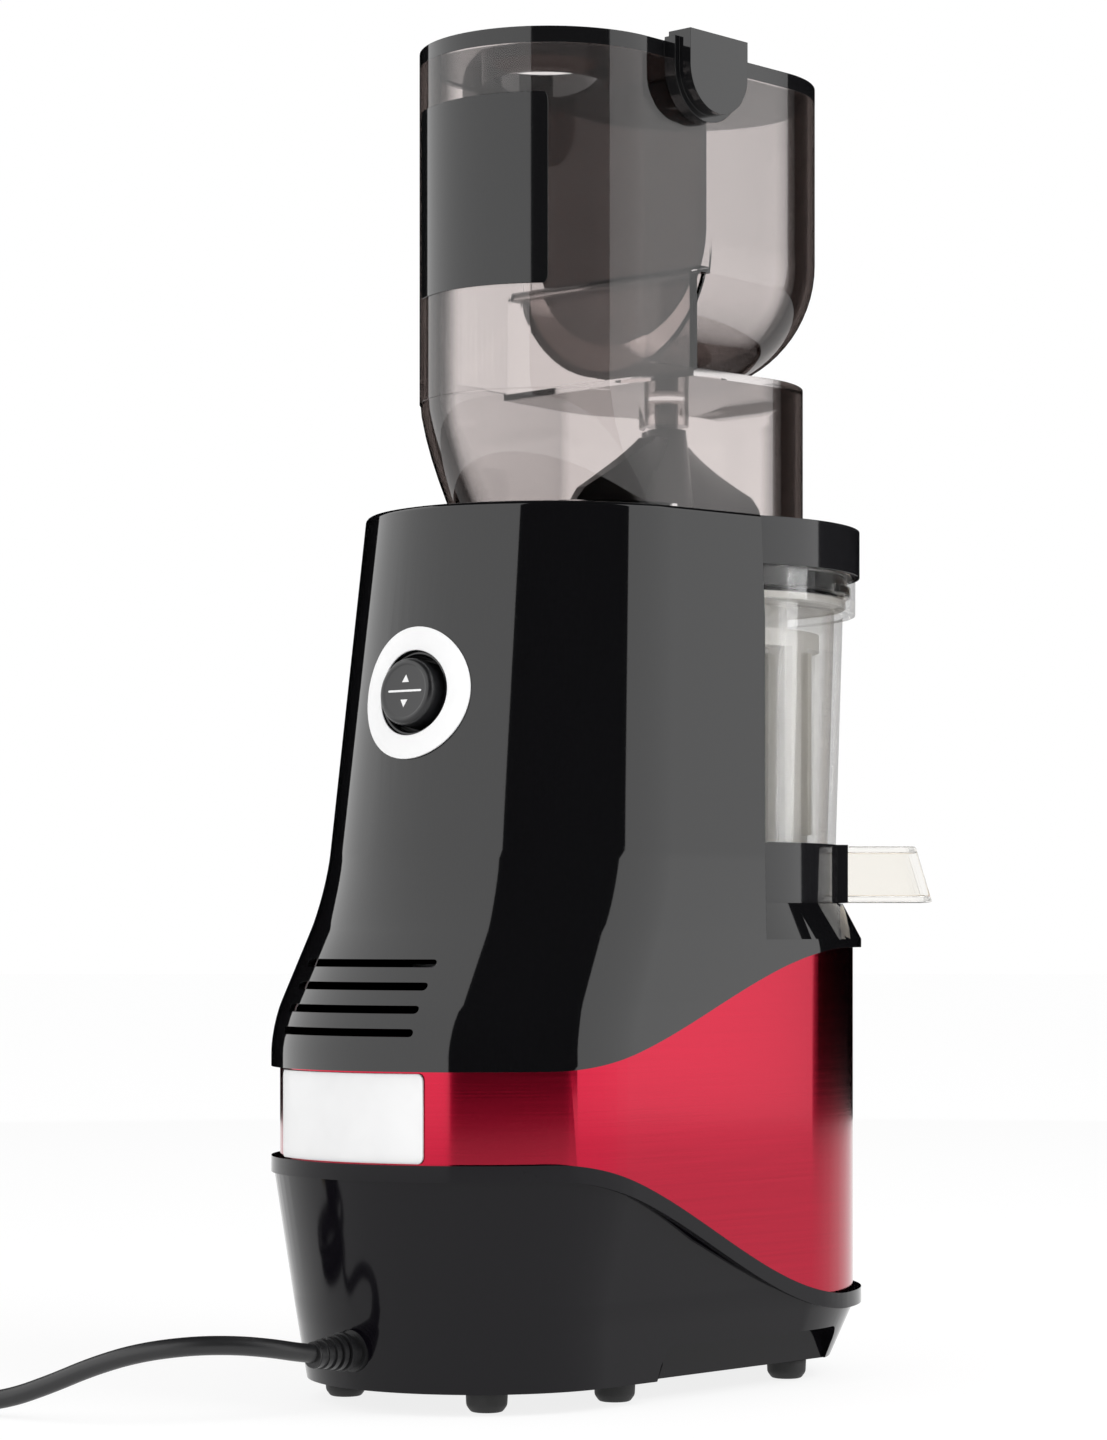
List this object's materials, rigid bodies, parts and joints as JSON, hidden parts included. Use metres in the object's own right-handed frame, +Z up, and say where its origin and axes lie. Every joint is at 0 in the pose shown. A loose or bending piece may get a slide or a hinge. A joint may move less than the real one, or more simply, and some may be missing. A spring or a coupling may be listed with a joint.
{
  "type": "cold press juicer",
  "caption": "Upright cold press juicer with a wide smoky hopper, clear juice bowl with screw, strainer and brush, leaning gloss column, red band, rear switch and power cord.",
  "frame": {"origin": "centre of the bounding box in plan, on the table plane under the feet, measured without the cord", "axes": "+Z up; +Y towards the switch at the rear; -Y towards the bowl and its spouts; the bowl axis stands at Y = -45.4 mm"},
  "size_m": [0.2699, 0.3828, 0.4658],
  "materials": {
    "housing_gloss": "gloss black",
    "base_satin": "satin black",
    "plate_dark": "matte",
    "foot_rubber": "matte",
    "band_red": "brushed, tinted crimson",
    "trim_white": "satin white",
    "switch_black": "satin",
    "core_steel": "laminated, dull",
    "copper_wire": "enamelled",
    "shield_alloy": "cast",
    "steel": "ground",
    "gear_plastic": "moulded",
    "gear_steel": "sintered",
    "bronze": "sintered",
    "seal_rubber": "soft",
    "board_green": "lacquered",
    "capacitor_grey": "gloss",
    "brass": "bright",
    "cord_black": "satin",
    "bowl_black": "gloss black",
    "bowl_clear": "clear",
    "spout_clear": "clear, slightly amber",
    "hopper_smoke": "smoky clear",
    "rim_black": "gloss black",
    "frame_pale": "translucent, pale",
    "mesh_steel": "perforated",
    "blade_silicone": "translucent",
    "auger_pale": "satin",
    "gate_smoke": "dark, translucent",
    "magnet": "plated"
  },
  "bodies": {
    "base": {"bottom_plate": "plate_dark", "cluster_pin": "steel", "control_board": "board_green", "cord_coil": "cord_black", "cord_gland": "cord_black", "deck_seal": "seal_rubber", "flange_screws": "steel", "gear_case": "shield_alloy", "gear_case_cover": "shield_alloy", "interlock_sensor": "switch_black", "lower_base": "base_satin", "metal_band": "band_red", "motor_bearings": "steel", "motor_lower_shield": "shield_alloy", "motor_upper_shield": "shield_alloy", "output_bush": "bronze", "plug_body": "cord_black", "plug_pins": "brass", "power_cord": "cord_black", "rating_plate": "trim_white", "rocker_pin": "steel", "rubber_feet": "foot_rubber", "rubber_mounts": "seal_rubber", "run_capacitor": "capacitor_grey", "stator_core": "core_steel", "stator_windings": "copper_wire", "switch_bezel": "switch_black", "switch_body": "switch_black", "switch_ring": "trim_white", "switch_terminals": "brass", "upper_housing": "housing_gloss"},
    "bowl": {"bowl_base_ring": "bowl_black", "juice_bowl": "bowl_clear", "juice_spout": "spout_clear", "pulp_spout": "spout_clear", "hub_seal": "seal_rubber", "idler_pins": "steel", "strainer_frame": "frame_pale", "strainer_mesh": "mesh_steel"},
    "hopper_lid": {"hopper": "hopper_smoke", "lid_ring": "rim_black", "lid_gasket": "seal_rubber", "interlock_magnet": "magnet", "hopper_rim": "rim_black"},
    "gate": {"flip_gate": "gate_smoke", "gate_pins": "steel", "gate_spring": "steel"},
    "rocker": {"rocker_cap": "switch_black"},
    "motor": {"rotor_core": "core_steel", "rotor_shaft": "steel", "cooling_fan": "gear_plastic"},
    "cluster": {"cluster_gear": "gear_plastic"},
    "drive": {"output_gear": "gear_steel", "drive_shaft": "steel"},
    "screw": {"auger": "auger_pale", "auger_insert": "steel"},
    "idler_rear": {"idler_gear_rear": "gear_plastic"},
    "idler_front": {"idler_gear_front": "gear_plastic"},
    "brush": {"brush_frame": "frame_pale", "brush_blades": "blade_silicone"}
  },
  "joints": [
    {"name": "bowl_lift", "type": "slide", "parent": "base", "child": "bowl", "axis": [0, 0, 1], "range_m": [0, 0.15]},
    {"name": "hopper_turn", "type": "hinge", "parent": "bowl", "child": "hopper_lid", "pos_m": [0, -0.04544, 0.2845], "axis": [0, 0, 1], "range_deg": [0, 30]},
    {"name": "gate_flip", "type": "hinge", "parent": "hopper_lid", "child": "gate", "pos_m": [0, -0.01044, 0.454], "axis": [-1, 0, 0], "range_deg": [0, 45], "stiffness_Nm_per_rad": 0.03, "springref_deg": -51.57},
    {"name": "switch_rock", "type": "hinge", "parent": "base", "child": "rocker", "pos_m": [-0.00367, 0.08228, 0.23673], "axis": [-0.9981, -0.061, 0], "range_deg": [-8, 8], "stiffness_Nm_per_rad": 0.05},
    {"name": "motor_spin", "type": "hinge", "parent": "base", "child": "motor", "pos_m": [0, 0.03256, 0.066], "axis": [0, 0, 1], "continuous": true},
    {"name": "cluster_spin", "type": "hinge", "parent": "base", "child": "cluster", "pos_m": [0, -0.00044, 0.118], "axis": [0, 0, 1], "continuous": true},
    {"name": "drive_spin", "type": "hinge", "parent": "base", "child": "drive", "pos_m": [0, -0.04544, 0.132], "axis": [0, 0, 1], "continuous": true},
    {"name": "auger_spin", "type": "hinge", "parent": "bowl", "child": "screw", "pos_m": [0, -0.04544, 0.18], "axis": [0, 0, 1], "continuous": true},
    {"name": "idler_rear_spin", "type": "hinge", "parent": "bowl", "child": "idler_rear", "pos_m": [0, -0.01544, 0.18], "axis": [0, 0, 1], "continuous": true},
    {"name": "idler_front_spin", "type": "hinge", "parent": "bowl", "child": "idler_front", "pos_m": [0, -0.07544, 0.18], "axis": [0, 0, 1], "continuous": true},
    {"name": "brush_spin", "type": "hinge", "parent": "bowl", "child": "brush", "pos_m": [0, -0.04544, 0.18], "axis": [0, 0, 1], "continuous": true}
  ],
  "couplings": [
    {"joint": "cluster_spin", "follows": "motor_spin", "ratio": -0.2},
    {"joint": "drive_spin", "follows": "motor_spin", "ratio": 0.04},
    {"joint": "auger_spin", "follows": "motor_spin", "ratio": 0.04},
    {"joint": "idler_rear_spin", "follows": "motor_spin", "ratio": -0.06},
    {"joint": "idler_front_spin", "follows": "motor_spin", "ratio": -0.06},
    {"joint": "brush_spin", "follows": "motor_spin", "ratio": -0.017143}
  ]
}
